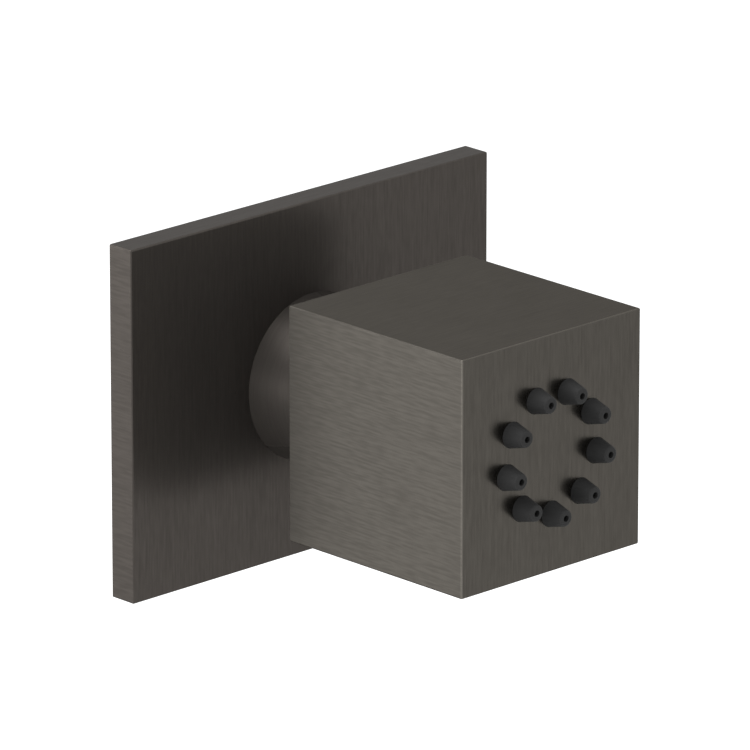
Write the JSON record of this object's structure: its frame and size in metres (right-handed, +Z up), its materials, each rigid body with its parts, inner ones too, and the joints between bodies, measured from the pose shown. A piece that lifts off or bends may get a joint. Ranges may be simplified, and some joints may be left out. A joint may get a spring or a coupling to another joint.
{
  "type": "shower body jet",
  "caption": "Wall mounted shower body jet: rectangular cover plate, conical collar and a cube head on a ball joint, with a ring of soft conical nozzles in its face.",
  "frame": {"origin": "centre of the cover plate's back face, in the wall's surface, on the axis of the jet", "axes": "+X right along the wall, +Z up, +Y into the wall; the jet sprays along -Y"},
  "size_m": [0.08, 0.0827, 0.06],
  "materials": {
    "gunmetal": "brushed dark gunmetal coating",
    "bare_steel": "plain stainless steel",
    "black_steel": "blackened stainless steel",
    "bare_brass": "turned brass",
    "black_rubber": "matt black rubber",
    "grey_silicone": "matt dark grey silicone",
    "white_acetal": "natural white acetal",
    "grey_plastic": "moulded grey plastic"
  },
  "bodies": {
    "wall_side": {"wall_plate": "gunmetal", "plate_gasket": "black_rubber", "inlet_connector": "bare_brass", "inlet_o_ring": "black_rubber", "filter_screen": "bare_steel", "flow_regulator": "grey_plastic", "regulator_ring": "black_rubber", "seat_spring": "bare_steel", "collar": "gunmetal", "collar_o_ring": "black_rubber"},
    "seat": {"seat_ring": "white_acetal", "seat_o_ring": "black_rubber"},
    "slip": {"slip_ring": "white_acetal"},
    "head": {"ball_stem": "gunmetal", "stem_o_ring": "black_rubber", "rear_cover": "gunmetal", "cover_o_ring": "black_rubber", "cover_screws": "black_steel", "lock_washer": "bare_steel", "stem_nut": "bare_steel", "head_shell": "gunmetal", "nozzle_mat": "grey_silicone", "distributor_plate": "grey_plastic", "retaining_ring": "bare_steel"}
  },
  "joints": [
    {"name": "head_twist", "type": "hinge", "parent": "wall_side", "child": "seat", "pos_m": [0, -0.011, 0], "axis": [0, -1, 0], "continuous": true},
    {"name": "head_turn", "type": "hinge", "parent": "seat", "child": "slip", "pos_m": [0, -0.011, 0], "axis": [0, 0, 1], "range_deg": [-15, 15]},
    {"name": "head_tip", "type": "hinge", "parent": "slip", "child": "head", "pos_m": [0, -0.011, 0], "axis": [1, 0, 0], "range_deg": [-15, 15]}
  ]
}
